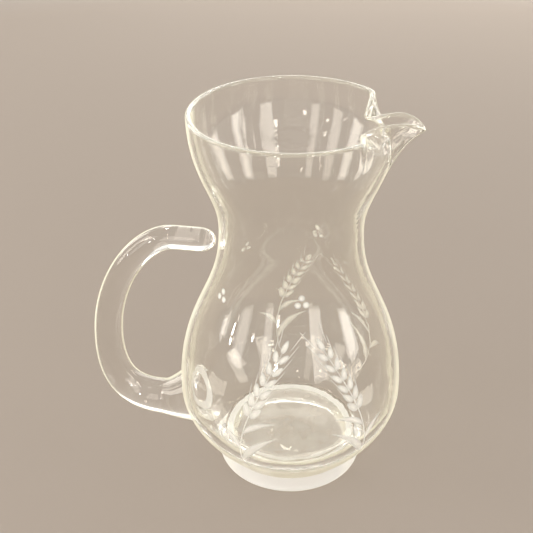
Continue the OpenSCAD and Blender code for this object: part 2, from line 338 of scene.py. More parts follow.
class Finish:
    """A material, or the world, built node by node."""

    def __init__(self, owner):
        self.owner = owner
        owner.use_nodes = True
        self.tree = owner.node_tree
        self.tree.nodes.clear()

    def node(self, kind, settings=None, sockets=None):
        """A node of that kind: its settings first, then the values or links of its sockets."""
        node = self.tree.nodes.new("ShaderNode" + kind)
        for name, value in (settings or {}).items():
            setattr(node, name, value)
        for name, value in (sockets or {}).items():
            if isinstance(value, Wire):
                self.tree.links.new(value.socket, node.inputs[name])
            else:
                node.inputs[name].default_value = value
        return node

    def wire(self, kind, settings=None, sockets=None, output=0):
        """One output of a new node."""
        return Wire(self, self.node(kind, settings, sockets).outputs[output])

    def coordinates(self, output="Object"):
        return self.wire("TexCoord", output=output)

    def axes(self, place=None):
        """The three coordinates of a place."""
        apart = self.node("SeparateXYZ", None, {0: place or self.coordinates()})
        return [Wire(self, output) for output in apart.outputs]

    def reach(self):
        """The distance from the axis."""
        x, y, _ = self.axes()
        return (x * x + y * y) ** 0.5

    def ray(self, kind):
        """1 for rays of that kind and 0 for others."""
        return self.wire("LightPath", output=f"Is {kind} Ray")

    def outside(self):
        """1 where a face is met from outside the glass and 0 where it is met from inside."""
        return 1 - self.wire("NewGeometry", output="Backfacing")

    def principled(self, sockets):
        return self.wire("BsdfPrincipled", None, sockets)

    def open_way(self, tint=(1, 1, 1)):
        """A shader that lets rays straight through."""
        return self.wire("BsdfTransparent", None, {"Color": opaque(tint)})

    def between(self, factor, first, second):
        """A shader between two shaders."""
        return self.wire("MixShader", None, {0: factor, 1: first, 2: second})

    def noise(self, scale, detail, stretch=(1, 1, 1), place=None):
        spread = self.wire("Mapping", None, {"Vector": place or self.coordinates(), "Scale": stretch})
        return self.wire("TexNoise", None, {"Vector": spread, "Scale": scale, "Detail": detail})

    def mixed(self, factor, first, second):
        """A colour between two colours."""
        return self.wire("Mix", {"data_type": "RGBA"}, {0: factor, 6: first, 7: second}, output=2)

    def speckled(self, noise, tone, dim):
        """A colour that is dimmer where the noise is low."""
        return self.mixed(noise, opaque(tone, dim), opaque(tone))

    def surface(self, shader):
        self.node("OutputMaterial", None, {"Surface": shader})
        return self.owner


def opaque(rgb, level=1):
    return (*(c * level for c in rgb), 1.0)


def new_finish(name):
    """An empty finish, which takes the place of an older one of that name."""
    return Finish(bpy.data.materials.get(name) or bpy.data.materials.new(name))


def clear_glass(finish, choices, glow_start):
    """The shader of clear glass: streaks of tint, the waves left by blowing and a painted glow at its edges.
    """
    streaks = finish.noise(*STREAKS)
    tint = finish.mixed(streaks, opaque(choices.clear_tint), opaque(choices.deep_tint))
    waves = finish.noise(*WAVES) + finish.noise(*RIPPLES) * RIPPLE_HEIGHT
    seeds = finish.noise(*SEEDS) > SEED_LEVEL
    relief = {"Strength": choices.waviness, "Distance": WAVE_DEPTH, "Height": waves}
    glass = finish.principled(
        {
            "Base Color": tint,
            "Roughness": seeds * SEED_ROUGHNESS,
            "IOR": GLASS_IOR,
            "Transmission Weight": 1.0,
            "Normal": finish.wire("Bump", None, relief),
        }
    )
    facing = finish.wire("LayerWeight", None, {"Blend": 0.5}, "Facing")
    edge = {"From Min": glow_start, "From Max": glow_start + GLOW_BLEND, "To Max": choices.painted_edge_glow}
    crisp = finish.wire("MapRange", {"interpolation_type": "SMOOTHSTEP"}, {"Value": facing, **edge})
    power, strength = SOFT_GLOW
    cover = crisp * (streaks + GLOW_LEAST) | facing**power * strength
    # Pale dull glass mixed in where the glass is seen edge-on: a painted glow for the light led through the
    # glass
    painted_glow = ground_and_painted_glow(finish, choices.painted_glow_colour)
    return finish.between(cover * finish.outside(), glass, painted_glow)


def ground_and_painted_glow(finish, tone):
    """The shader of pale dull glass: ground glass, and the painted glow and highlights at edges, rim and
    seams.
    """
    grit = finish.noise(*GRIT)
    pale = finish.speckled(grit, tone, DULL_DIM)
    return finish.principled({"Base Color": pale, "Roughness": grit.ranging(*DULL_ROUGHNESS)})


def lit_through(finish, choices, shader):
    """That shader, with the light of the lamps let through to what lies behind the glass."""
    light_way = finish.open_way(choices.shade_tint)
    for kind in ("Shadow", "Diffuse"):
        shader = finish.between(finish.ray(kind), shader, light_way)
    return finish.surface(shader)


def blown_glass(finish, choices):
    """The bowl's shader: the painted glow at the edges is wider low down, where the glass is thicker."""
    _, _, z = finish.axes()
    return clear_glass(finish, choices, finish.wire("MapRange", None, {"Value": z, **BOWL_GLOW}))


def bowl_glass(choices):
    finish = new_finish("bowl_glass")
    return lit_through(finish, choices, blown_glass(finish, choices))


def dulled_glass(name, choices, tone, cover, patches):
    """The bowl's glass, mixed in patches with pale dull glass."""
    finish = new_finish(name)
    cover = finish.noise(*patches).ranging(*PATCH_RANGE) * cover
    dull = ground_and_painted_glow(finish, tone)
    return lit_through(finish, choices, finish.between(cover, blown_glass(finish, choices), dull))


def rim_glass(choices):
    # On the rim the pale patches are a painted highlight, standing in for the lamps reflected along its
    # rounded top
    return dulled_glass("bowl_glass_at_rim", choices, choices.painted_glow_colour, choices.rim_painted_highlight, RIM_PATCHES)


def underside_glass(choices):
    tone, cover = choices.frost_colour, choices.underside_cover
    return dulled_glass("bowl_glass_underneath", choices, tone, cover, UNDERSIDE_PATCHES)


def sealed_glass(choices, middle_height, half_angle, half_height):
    """The bowl's glass, with a pale seam painted bright round the place where the handle's seal has melted
    into it.
    """
    finish = new_finish("bowl_glass_at_seal")
    glass = blown_glass(finish, choices)
    _, y, z = finish.axes()
    side = y / finish.reach() / math.sin(half_angle)
    climb = (z - middle_height) / half_height
    outline = (side * side + climb * climb) ** 0.5
    # The pale band round the seal is painted bright, standing in for the light caught at the edge of the
    # melted seal
    painted_seam = finish.between(outline < SEAM_END, glass, ground_and_painted_glow(finish, choices.ground_and_painted_glow_colour))
    melted = outline - climb * SEAM_SAG < SEAM_START
    return lit_through(finish, choices, finish.between(melted, painted_seam, finish.open_way()))


def melted_joint():
    """Faces inside the glass, where two gathers have melted together."""
    finish = new_finish("melted_joint")
    return finish.surface(finish.open_way())


def foot_seam_and_painted_glow(choices, foot):
    """The joint of the bowl and the foot ring: a pale seam along its inside, melted clear farther out."""
    # The pale seam is also a painted glow: it stands in for the bright ring of light led down through the
    # thick foot
    finish = new_finish("foot_seam_and_painted_glow")
    patches = finish.noise(*SEAM_PATCHES)
    near = finish.reach() < patches * SEAM_FRAY + (foot.bore_radius + foot.seam_width)
    cover = near * patches.ranging(*SEAM_RANGE)
    pale = ground_and_painted_glow(finish, choices.ground_and_painted_glow_colour)
    return lit_through(finish, choices, finish.between(cover, finish.open_way(), pale))


def foot_glass(choices, foot):
    """The foot's glass, pale and dull a little inside the ring and more so outside."""
    finish = new_finish("foot_glass")
    wear = finish.noise(*FOOT_WEAR)
    in_bore = finish.reach() < wear * BORE_FRAY + (foot.bore_radius + foot.edge)
    # The pale dull glass is ground at the resting edges, and on the outer wall and bore a painted glow of
    # light led through the thick foot
    cover = in_bore * choices.bore_ground_and_painted_glow | (1 - in_bore) * finish.outside() * choices.foot_ground_and_painted_glow
    glass = clear_glass(finish, choices, FOOT_GLOW)
    dull = ground_and_painted_glow(finish, choices.ground_and_painted_glow_colour)
    return lit_through(finish, choices, finish.between(cover, glass, dull))


def handle_glass(choices):
    finish = new_finish("handle_glass")
    return lit_through(finish, choices, clear_glass(finish, choices, HANDLE_GLOW))


def frosted_cut(choices):
    """Glass ground by a wheel: dull, pale, and streaked along each cut."""
    finish = new_finish("frosted_cut")
    across = finish.coordinates("UV")
    streaks = finish.noise(*CUT_STREAKS, place=across)
    grit = finish.noise(*CUT_GRIT)
    edge, end, _ = finish.axes(across)
    middle = 1 - (edge * edge + end * end) * FROST_EDGE
    by_streaks, by_grit, plain = FROST_PARTS
    frost = finish.principled(
        {
            "Base Color": finish.speckled(grit, choices.frost_colour, FROST_DIM),
            "Roughness": grit.ranging(*FROST_ROUGHNESS),
            "Transmission Weight": FROST_LET_IN,
            "Alpha": (streaks * by_streaks + grit * by_grit + plain) * middle * choices.frost_cover,
        }
    )
    return finish.surface(frost)


def floor_finish(choices):
    """Plain seamless paper with a faint tooth, which fades away in the distance."""
    finish = new_finish("studio_paper")
    tooth = finish.noise(*PAPER_TOOTH)
    tone = finish.speckled(tooth, choices.floor_colour, PAPER_DIM)
    paper = finish.principled({"Base Color": tone, "Roughness": tooth.ranging(*PAPER_ROUGHNESS)})
    fade = {"Value": finish.reach(), "From Min": FLOOR_FADE[0], "From Max": FLOOR_FADE[1]}
    far = finish.wire("MapRange", None, fade)
    return finish.surface(finish.between(far, paper, finish.open_way()))


def bezier(a, b, c, d, t):
    return a * (1 - t) ** 3 + b * (3 * t * (1 - t) ** 2) + c * (3 * t * t * (1 - t)) + d * t**3


def bezier_way(a, b, c, d, t, step=0.01):
    """The direction of a curve, taken a small step to each side."""
    return (bezier(a, b, c, d, min(t + step, 1)) - bezier(a, b, c, d, max(t - step, 0))).normalized()


def curve(a, b, c, d, steps):
    """Points along a curve after its first one."""
    return [bezier(a, b, c, d, i / steps) for i in range(1, steps + 1)]


def straight(a, b, steps):
    """Points along a line after its first one."""
    return [a.lerp(b, i / steps) for i in range(1, steps + 1)]


def polar(radius, turn, height):
    """A place at that distance and turn about the axis."""
    return Vector((radius * math.cos(turn), radius * math.sin(turn), height))


def heading(lean):
    """A direction that leans that far from straight up."""
    return Vector((math.sin(lean), math.cos(lean)))


def pulled(start, end, leaving, coming):
    """The four points of a curve between two places, each with its pull."""
    return start, start + Vector(leaving), end + Vector(coming), end


def line(start, end):
    """The four points of a straight curve."""
    return pulled(start, end, (end - start) / 3, (start - end) / 3)


def rising(low, high, pulls):
    """The four points of a curve of the wall, which comes straight up to its high end."""
    out, up, down = pulls
    width, height = high - low
    return pulled(low, high, (out * width, up * height), (0, -down * height))


def flare_point(bowl, t, inset):
    """A point of the outline between the neck and the rim."""
    neck = Vector((bowl.neck_radius - inset, bowl.neck_height))
    rim = Vector((bowl.rim_radius - inset, bowl.rim_height - bowl.rim_wall / 2))
    return bezier(*rising(neck, rim, FLARE_PULLS), t)


def wall_curve(bowl, start, pulls, inset, steps):
    """One side of the wall, from its start at the foot or the floor to the start of the mouth."""
    belly = Vector((bowl.belly_radius - inset, bowl.belly_height))
    neck = Vector((bowl.neck_radius - inset, bowl.neck_height))
    return (
        [start]
        + curve(*rising(start, belly, pulls), steps)
        + curve(*rising(belly, neck, SHOULDER_PULLS), steps)
        + [flare_point(bowl, MOUTH_START * i / steps, inset) for i in range(1, steps + 1)]
    )


def outside_curve(bowl, foot, steps):
    """The bowl's outside from the foot to the start of the mouth."""
    return wall_curve(bowl, Vector((foot.seat_radius, foot.height)), BASE_PULLS, 0, steps)


class Skin:
    """The bowl's outside below the mouth, found by height or by the climb along it from the foot."""

    def __init__(self, scene):
        self.points = outside_curve(scene.pitcher_bowl, scene.pitcher_foot, SKIN_ROWS)
        self.heights = [p.y for p in self.points]
        self.climbs = [0.0]
        for low, high in zip(self.points, self.points[1:]):
            self.climbs.append(self.climbs[-1] + (high - low).length)

    def _at(self, scale, value):
        i = min(max(bisect_right(scale, value), 1), len(scale) - 1)
        t = (value - scale[i - 1]) / (scale[i] - scale[i - 1])
        low, high = self.points[i - 1], self.points[i]
        return low.lerp(high, t), (high - low).normalized(), i - 1 + t

    def radius(self, height):
        return self._at(self.heights, height)[0].x

    def climb(self, height):
        step = self._at(self.heights, height)[2]
        i = min(int(step), len(self.climbs) - 2)
        return self.climbs[i] + (self.climbs[i + 1] - self.climbs[i]) * (step - i)

    def point(self, azimuth, climb, lift):
        """A place on the skin, lifted straight out of it."""
        place, along, _ = self._at(self.climbs, climb)
        return polar(place.x + along.y * lift, azimuth, place.y - along.x * lift)

    def turn(self, climb, sideways):
        """The angle about the axis that a sideways distance covers."""
        return sideways / self._at(self.climbs, climb)[0].x


def rim_path(bowl, lip):
    """Places of the ribs along the rim: x, y and drop, from the tip of the lip right round."""
    reach = lip.reach - lip.notch_reach
    wide, deep = lip.notch_half_width, lip.notch_dip
    radius, turn, drop = NOTCH_CORNER
    corner = polar(radius * bowl.rim_radius, turn * lip.pinch_angle, drop * deep)
    half = [
        Vector((lip.notch_reach + out * reach, side * lip.half_width, drop * lip.dip + sink * deep))
        for out, side, drop, sink in LIP_MARKS
    ]
    half += [
        Vector((lip.notch_reach, wide, deep)),
        Vector(((lip.notch_reach + corner.x) / 2, NOTCH_SIDE[0] * wide, NOTCH_SIDE[1] * deep)),
        corner,
        polar(bowl.rim_radius, lip.pinch_angle, 0),
    ]

    def flipped(place):
        return Vector((place.x, -place.y, place.z))

    marks = [flipped(half[1]), *half, polar(bowl.rim_radius, lip.pinch_angle + CIRCLE_STEP, 0)]
    side = []
    for a, b, c, d in zip(marks, marks[1:], marks[2:], marks[3:]):
        side += [bezier(b, b + (c - a) / 6, c - (d - b) / 6, c, k / PATH_RIBS) for k in range(PATH_RIBS)]
    step = (2 * math.pi - 2 * lip.pinch_angle) / ROUND_RIBS
    back = [polar(bowl.rim_radius, lip.pinch_angle + step * i, 0) for i in range(ROUND_RIBS + 1)]
    return side + back + [flipped(place) for place in reversed(side[1:])]


def turned(outline, ribs, closed=False):
    """A blank spun about the axis from an outline of radii and heights, whose corners keep their row."""
    blank = bmesh.new()
    row = blank.verts.layers.int.new("row")
    corners = []
    for i, (radius, height) in enumerate(outline):
        corner = blank.verts.new((radius, 0, height))
        corner[row] = i
        corners.append(corner)
    pairs = list(zip(corners, corners[1:]))
    if closed:
        pairs.append((corners[-1], corners[0]))
    edges = [blank.edges.new(pair) for pair in pairs]
    about = {"axis": (0, 0, 1), "cent": (0, 0, 0), "angle": 2 * math.pi}
    bmesh.ops.spin(blank, geom=corners + edges, **about, steps=ribs, use_merge=True)
    bmesh.ops.remove_doubles(blank, verts=blank.verts, dist=MERGE_DISTANCE)
    return blank, row


def shaped(outline, rows, ribs):
    """A spun blank whose corners have moved to the places that their rows give to their ribs."""
    form, row = turned(outline, ribs)
    step = 2 * math.pi / ribs
    for corner in form.verts:
        rib = round(math.atan2(corner.co.y, corner.co.x) / step) % ribs
        corner.co = rows[corner[row]](rib)
    bmesh.ops.remove_doubles(form, verts=form.verts, dist=MERGE_DISTANCE)
    bmesh.ops.recalc_face_normals(form, faces=form.faces)
    return form, row


def rows_of_faces(form, row):
    """Each face of a spun form, with its lowest and highest row."""
    for face in form.faces:
        numbers = [corner[row] for corner in face.verts]
        yield face, min(numbers), max(numbers)


def stand(name, data):
    """Puts an object in the scene, in the place of an older one of that name."""
    old = bpy.data.objects.get(name)
    if old:
        bpy.data.objects.remove(old)
    thing = bpy.data.objects.new(name, data)
    bpy.context.scene.collection.objects.link(thing)
    return thing


def stand_form(name, form, finishes):
    """Makes a mesh of the finished form and puts it in the scene."""
    mesh = bpy.data.meshes.new(name)
    form.to_mesh(mesh)
    form.free()
    for finish in finishes:
        mesh.materials.append(finish)
    mesh.shade_smooth()
    mesh.set_sharp_from_angle(angle=SHARP_ANGLE)
    return stand(name, mesh)


def add_piece(name, form, finishes, node=None):
    """Makes the finished form a piece that stands in the part's frame."""
    piece = stand_form(name, form, finishes)
    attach(piece, "root")
    if node:
        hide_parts(node)
    return piece


def eased(values):
    """A row of values without its sudden changes: each moves to its neighbours and about as far back."""
    for pull in EASING_PULLS * EASING_ROUNDS:
        inner = [b + ((a + c) / 2 - b) * pull for a, b, c in zip(values, values[1:], values[2:])]
        values = [values[0], *inner, values[-1]]
    return values


class Rod:
    """The handle's rod: its middle line as distance from the axis and height, and its radius along it."""

    def __init__(self, scene):
        bowl = scene.pitcher_bowl
        self.handle = handle = scene.pitcher_handle
        self.skin = Skin(scene)
        reach = handle.outer_reach - handle.grip_radius
        tip = self.skin.radius(handle.end_height) + handle.end_gap
        end = tip + handle.end_radius
        self.start = Vector((tip + handle.end_radius * END_LENGTH, handle.end_height))
        bend = Vector((end + HANDLE_STRAIGHT * (reach - end), handle.end_height))
        grip = Vector((reach, handle.grip_height))
        arm = Vector((bowl.belly_radius + handle.arm_length, handle.arm_height))
        seal = Vector((bowl.belly_radius * (1 - SEAL_DEPTH), handle.seal_height))
        run = arm.x - seal.x
        upper, lower = handle.end_height - handle.grip_height, handle.grip_height - handle.arm_height
        climb = (handle.arm_height - handle.seal_height) / 2
        self.curves = [
            line(self.start, bend),
            pulled(bend, grip, (UPPER_BEND[0] * (reach - bend.x), 0), (0, UPPER_BEND[1] * upper)),
            pulled(grip, arm, (0, -LOWER_BEND[0] * lower), (LOWER_BEND[1] * (reach - arm.x), 0)),
            pulled(arm, seal, (-SEAL_PULLS[0] * run, 0), (SEAL_PULLS[1] * run, climb)),
        ]
        ends = [handle.end_radius, handle.grip_radius, handle.arm_radius, handle.seal_radius]
        self.radii = list(zip(ends[:1] + ends, ends))

    def ring_corner(self, middle, along, radius, rib):
        turn = 2 * math.pi * rib / HANDLE_RIBS
        across = radius * math.cos(turn)
        return Vector((across * along.y - middle.x, radius * math.sin(turn), across * along.x + middle.y))

    def seal_corner(self, t, rib):
        """A corner of the ring at share t of the flared seal."""
        first, last = self.radii[3]
        radius = first + (last - first) * t**SEAL_POWER
        seal = (*self.curves[3], t)
        return self.ring_corner(bezier(*seal), bezier_way(*seal), radius, rib)

    def seal_outline(self):
        """Where each rib meets the belly: shares of the seal's length, and turns and heights."""
        shares, places = [], []
        for rib in range(HANDLE_RIBS):
            low, high = 0.0, 1.0
            for _ in range(SEARCH_ROUNDS):
                middle = (low + high) / 2
                place = self.seal_corner(middle, rib)
                if math.hypot(place.x, place.y) > self.skin.radius(place.z):
                    low = middle
                else:
                    high = middle
            place = self.seal_corner(low, rib)
            shares.append(low)
            places.append(Vector((math.atan2(place.y, -place.x), place.z)))
        return shares, places

    def end_corner(self, turn, rib):
        """A corner of the free end, which runs smoothly into the rod."""
        radius = self.handle.end_radius
        middle = self.start - Vector((END_LENGTH * radius * math.cos(turn) ** END_POWER, 0))
        return self.ring_corner(middle, Vector((1, 0)), radius * math.sin(turn) ** END_POWER, rib)

    def grip_rings(self):
        """Middle, direction and radius of each ring from the free end to the arm, with eased bends."""
        middles, radii = [self.start], [self.handle.end_radius]
        for part, steps in enumerate(HANDLE_ROWS):
            first, last = self.radii[part]
            middles += [bezier(*self.curves[part], i / steps) for i in range(1, steps + 1)]
            radii += [first + (last - first) * i / steps for i in range(1, steps + 1)]
        middles, radii = eased(middles), eased(radii)
        before = [self.start * 2 - middles[1], *middles]
        after = [*middles[1:], bezier(*self.curves[3], 1 / HANDLE_ROWS[2])]
        ways = [(b - a).normalized() for a, b in zip(before, after)]
        return list(zip(middles, ways, radii))


class PITCHER_OT_bowl(bpy.types.Operator):
    """Blow the bowl and pinch its pouring lip"""

    bl_idname = "pitcher.bowl"
    bl_label = "Bowl"

    def execute(self, context):
        scene = context.scene
        bowl, foot = scene.pitcher_bowl, scene.pitcher_foot
        path = rim_path(bowl, scene.pitcher_lip)
        ribs = len(path)
        turns = [math.atan2(place.y, place.x) for place in path]
        bend = bowl.rim_wall / 2

        def mouth_point(rib, t):
            goal = path[rib]
            change = goal.xy.length - bowl.rim_radius
            power = LIP_POWER if change > 0 else NOTCH_POWER
            growth = max(0.0, (t - MOUTH_START) / (1 - MOUTH_START)) ** power
            plain = flare_point(bowl, t, 0)
            return polar(plain.x + change * growth, turns[rib], plain.y - goal.z * growth)

        def outwards(rib, t):
            along = mouth_point((rib + 1) % ribs, t) - mouth_point((rib - 1) % ribs, t)
            return Vector((along.y, -along.x, 0)).normalized()

        def wall_at(t):
            return bowl.wall + (bowl.rim_wall - bowl.wall) * (t - MOUTH_START) / (1 - MOUTH_START)

        def row_at(i):
            return MOUTH_START + (1 - MOUTH_START) * math.sin(math.pi / 2 * i / MOUTH_ROWS)

        rise = Vector((0, bowl.underside_rise))
        axis = Vector((0, foot.height))
        bore_edge = Vector((foot.bore_radius, foot.height))
        hollow = axis.lerp(bore_edge, 0.5)
        seat_edge = Vector((foot.seat_radius, foot.height))
        floor_edge = Vector((bowl.floor_radius, foot.height + bowl.floor_thickness))
        below = [axis + rise] + curve(axis + rise, hollow + rise, hollow, bore_edge, UNDERSIDE_ROWS)
        bore_row = len(below) - 1
        below += straight(bore_edge, seat_edge, SEAT_ROWS)[:-1]
        outside = outside_curve(bowl, foot, CURVE_ROWS)
        inside = wall_curve(bowl, floor_edge, FLOOR_PULLS, bowl.wall, CURVE_ROWS)
        floor = straight(floor_edge, Vector((0, floor_edge.y)), FLOOR_ROWS)

        def turned_row(point):
            return point, lambda rib: polar(point.x, turns[rib], point.y)

        def mouth_row(t, depth):
            inset = depth * wall_at(t)
            return flare_point(bowl, t, inset), lambda rib: mouth_point(rib, t) - outwards(rib, t) * inset

        def rim_row(turn):
            across, up = bend * (math.cos(turn) - 1), bend * math.sin(turn)
            flat = flare_point(bowl, 1, 0) + Vector((across, up))
            return flat, lambda rib: mouth_point(rib, 1) + outwards(rib, 1) * across + Vector((0, 0, up))

        rows = [turned_row(p) for p in below + outside]
        rows += [mouth_row(row_at(i), 0) for i in range(1, MOUTH_ROWS + 1)]
        rows += [rim_row(math.pi * i / RIM_ROWS) for i in range(1, RIM_ROWS)]
        rows += [mouth_row(row_at(i), 1) for i in range(MOUTH_ROWS, 0, -1)]
        rows += [turned_row(p) for p in inside[::-1] + floor]
        form, row_layer = shaped(*zip(*rows), ribs)
        _, seal = Rod(scene).seal_outline()
        bottom, top = min(p.y for p in seal), max(p.y for p in seal)
        half_angle = max(p.x for p in seal) * MELTED[0]
        middle = (top + bottom) / 2 + scene.pitcher_handle.seam_lift
        half_height = (top - bottom) / 2 * MELTED[1]
        first, last = len(below), len(below) + len(outside)
        rim_rows = range(last + MOUTH_ROWS - 2, last + MOUTH_ROWS + RIM_ROWS + 1)
        for face, low, high in rows_of_faces(form, row_layer):
            centre = face.calc_center_median()
            if high <= bore_row:
                face.material_index = UNDERNEATH
            elif low >= bore_row and high <= first:
                face.material_index = AT_FOOT
            elif low in rim_rows and high in rim_rows:
                face.material_index = AT_RIM
            elif low >= first and high < last and centre.x < 0:
                aside, climb = abs(centre.y) / bowl.belly_radius, abs(centre.z - middle) / half_height
                if aside < SEALED_FACES[0] and climb < SEALED_FACES[1]:
                    face.material_index = AT_SEAL
        choices = scene.pitcher_finish
        finishes = [
            bowl_glass(choices),
            foot_seam_and_painted_glow(choices, foot),
            sealed_glass(choices, middle, half_angle, half_height),
            rim_glass(choices),
            underside_glass(choices),
        ]
        add_piece("bowl", form, finishes, "body")
        return {"FINISHED"}


class PITCHER_OT_foot(bpy.types.Operator):
    """Apply the foot ring under the bowl"""

    bl_idname = "pitcher.foot"
    bl_label = "Foot ring"

    def execute(self, context):
        foot, choices = context.scene.pitcher_foot, context.scene.pitcher_finish
        outline = []
        for middle, start in ((foot.bore_radius + foot.edge, 180), (foot.radius - foot.edge, 270)):
            for i in range(FOOT_ROWS + 1):
                turn = math.radians(start + 90 * i / FOOT_ROWS)
                outline.append(Vector((middle, foot.edge)) + polar(foot.edge, turn, 0).xy)
        seat_edge = Vector((foot.seat_radius, foot.height))
        bore_edge = Vector((foot.bore_radius, foot.height))
        outline += straight(Vector((foot.radius, foot.edge)), seat_edge, FOOT_ROWS)
        top_row = len(outline) - 1
        outline += straight(seat_edge, bore_edge, SEAT_ROWS)
        bore_row = len(outline) - 1
        outline += straight(bore_edge, Vector((foot.bore_radius, foot.edge)), FOOT_ROWS)[:-1]
        form, row_layer = turned(outline, FOOT_RIBS, closed=True)
        bmesh.ops.recalc_face_normals(form, faces=form.faces)
        for face, low, high in rows_of_faces(form, row_layer):
            if low >= top_row and high <= bore_row:
                face.material_index = AT_JOINT
        finishes = [foot_glass(choices, foot), foot_seam_and_painted_glow(choices, foot)]
        add_piece("foot", form, finishes, "foot_ring")
        return {"FINISHED"}


class PITCHER_OT_handle(bpy.types.Operator):
    """Draw the rod of the handle and seal it to the belly"""

    bl_idname = "pitcher.handle"
    bl_label = "Handle"

    def execute(self, context):
        scene = context.scene
        rod = Rod(scene)
        shares, places = rod.seal_outline()
        centre = Vector((0, sum(p.y for p in places) / len(places)))

        def seal_place(t, rib):
            return rod.seal_corner(shares[rib] * t, rib)

        def cap_place(t, rib):
            turn, height = places[rib].lerp(centre, t)
            return polar(rod.skin.radius(height), math.pi - turn, height)

        rows = [partial(rod.end_corner, math.pi / 2 * i / END_ROWS) for i in range(END_ROWS)]
        rows += [partial(rod.ring_corner, *ring) for ring in rod.grip_rings()]
        rows += [partial(seal_place, i / SEAL_ROWS) for i in range(1, SEAL_ROWS + 1)]
        joint_row = len(rows) - 1
        rows += [partial(cap_place, i / CAP_ROWS) for i in range(1, CAP_ROWS + 1)]
        last = len(rows) - 1
        outline = [Vector((0 if i in (0, last) else 1, i)) for i in range(len(rows))]
        form, row_layer = shaped(outline, rows, HANDLE_RIBS)
        for face, low, _ in rows_of_faces(form, row_layer):
            if low >= joint_row:
                face.material_index = AT_JOINT
        finishes = [handle_glass(scene.pitcher_finish), melted_joint()]
        add_piece("handle_rod", form, finishes, "handle")
        return {"FINISHED"}


class Cutter:
    """A wheel that leaves frosted cuts on the bowl's skin."""

    def __init__(self, scene):
        self.skin = Skin(scene)
        self.cuts = scene.pitcher_cuts
        self.form = bmesh.new()
        self.map = self.form.loops.layers.uv.new("cut")

    def sprays(self):
        """The turn of each spray of wheat, the climb to its start and the side that it leans to."""
        start = self.skin.climb(self.cuts.start_height)
        return [(math.radians(degrees), start, side) for degrees, side in SPRAYS]

    def lay(self, corners, spray, shape):
        """Lays flat corners on the skin: shape turns each one into its distances sideways and up the skin."""
        azimuth, start, side = spray
        flat = {corner: corner.co.xy for corner in corners}
        for corner, unit in flat.items():
            sideways, climb = shape(unit)
            climb += start
            turn = azimuth + self.skin.turn(climb, sideways * side)
            corner.co = self.skin.point(turn, climb, self.cuts.lift)
        faces = {face for corner in corners for face in corner.link_faces}
        for face in faces:
            for loop in face.loops:
                loop[self.map].uv = flat[loop.vert]
            face.normal_update()
        inward = [face for face in faces if face.normal.xy.dot(face.calc_center_median().xy) < 0]
        bmesh.ops.reverse_faces(self.form, faces=inward)

    def oval(self, spray, middle, lean, size, taper=0.0):
        """An oval cut."""
        for corner in self.form.verts:
            corner.tag = True
        bmesh.ops.create_circle(self.form, cap_ends=True, cap_tris=True, radius=1, segments=OVAL_RIBS)
        corners = [corner for corner in self.form.verts if not corner.tag]
        edges = list({edge for corner in corners for edge in corner.link_edges})
        bmesh.ops.subdivide_edges(self.form, edges=edges, cuts=1, use_grid_fill=True)
        corners = [corner for corner in self.form.verts if not corner.tag]
        sine, cosine = math.sin(lean), math.cos(lean)

        def shape(unit):
            across = unit.x * size[0] / 2 * (1 - taper * unit.y)
            along = unit.y * size[1] / 2
            return middle[0] + across * cosine + along * sine, middle[1] - across * sine + along * cosine

        self.lay(corners, spray, shape)

    def ribbon(self, spray, path, width, steps, swell):
        """A cut along a curved line, as wide as swell says along it."""
        made = bmesh.ops.create_grid(self.form, x_segments=2, y_segments=steps, size=1)

        def shape(unit):
            t = (unit.y + 1) / 2
            here = bezier(*path, t)
            along = bezier_way(*path, t)
            offset = unit.x * width / 2 * swell(t)
            return here.x + along.y * offset, here.y - along.x * offset

        self.lay(made["verts"], spray, shape)

    def finish(self, name, frost):
        """Gives the cuts their thickness and makes them a piece."""
        piece = add_piece(name, self.form, [frost])
        layer = piece.modifiers.new("Frosted layer", "SOLIDIFY")
        layer.thickness = self.cuts.depth
        layer.offset = 1


# Sprays of wheat: turn about the axis in degrees, and the side that each leans to
SPRAYS = ((-104.5, 1), (-44, -1), (44, 1), (104.5, -1))
# Groups of dots: turn about the axis in degrees, and height
DOT_GROUPS = ((-74, 0.114), (74, 0.114), (-138, 0.108), (138, 0.108))
STEM_LINE = (Vector((0, 0)), Vector((-0.007, 0.024)), Vector((0.006, 0.044)), Vector((0.014, 0.070)))
# Shares of the stem between which the ear grows
EAR = (0.54, 0.94)
# Blades: share of the stem where each grows, the hand that it leans to, its length and its width
BLADES = ((0.10, 1, 0.027, 0.0042), (0.24, -1, 0.0155, 0.0032), (0.38, 1, 0.018, 0.0032))
# Grains: how much smaller each pair is than the last, shares of width and length that set them off the stem,
# and their taper; then the size, set-off and taper of the grain at the tip
GRAIN_SHRINK = 0.05
GRAIN_SET = (0.28, 0.42)
GRAIN_TAPER = 0.22
TIP_SIZE = (0.8, 0.85)
TIP_SET = 0.35
TIP_TAPER = 0.25
# Distance of the dots from the middle of their group, in widths of a dot
DOT_SET = 0.72
# How far grains, bristles and blades lean from the stem, where a bristle leaves its grain, and a blade's bow
GRAIN_LEAN = math.radians(27)
AWN_LEAN = math.radians(13)
AWN_ROOT = math.radians(24)
BLADE_LEAN = math.radians(24)
BLADE_BOW = 0.45
# A blade's knee as a share of its length, the pulls to it and from it, the least width of its ends and the
# power that moves its widest place towards its root; and how much narrower stems and bristles become
BLADE_KNEE = 0.5
BLADE_PULLS = (0.6, 0.25)
BLADE_END = 0.06
BLADE_POWER = 0.8
STEM_TAPER = 0.35


def stem_at(t):
    """A place along a stem and the lean of the stem there."""
    along = bezier_way(*STEM_LINE, t)
    return bezier(*STEM_LINE, t), math.atan2(along.x, along.y)


def ear_places(cuts):
    """Places on a stem that bear a pair of grains, from the lowest, each with the stem's lean."""
    step = (EAR[1] - EAR[0]) / max(cuts.grain_pairs - 1, 1)
    return [stem_at(EAR[0] + step * i) for i in range(cuts.grain_pairs)]


